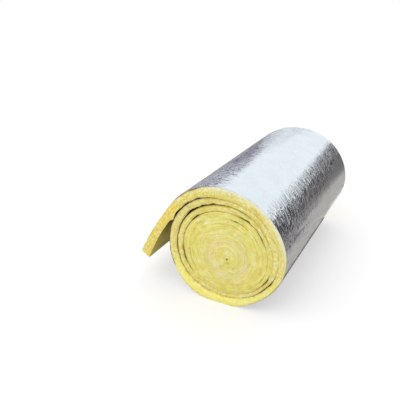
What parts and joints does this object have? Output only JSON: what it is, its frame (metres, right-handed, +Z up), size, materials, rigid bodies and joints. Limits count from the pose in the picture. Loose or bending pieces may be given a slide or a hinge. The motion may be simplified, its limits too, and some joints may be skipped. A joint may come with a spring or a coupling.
{
  "type": "insulation roll",
  "caption": "Roll of glass wool building insulation blanket with a foil facing on its outer side, lying on its side with its outer end loose.",
  "frame": {"origin": "on the floor, in the middle of the patch that the roll rests on, halfway along the roll", "axes": "+Y along the roll's axis, away from the end that the picture shows; +Z up; the loose end stands out towards -X"},
  "size_m": [0.8345, 1.2, 0.6488],
  "materials": {
    "glass_wool": "matte, fibrous",
    "foil": "thin crinkled foil, semi gloss"
  },
  "bodies": {
    "root": {"glass_wool_blanket": "glass_wool", "foil_facing": "foil"}
  },
  "joints": []
}
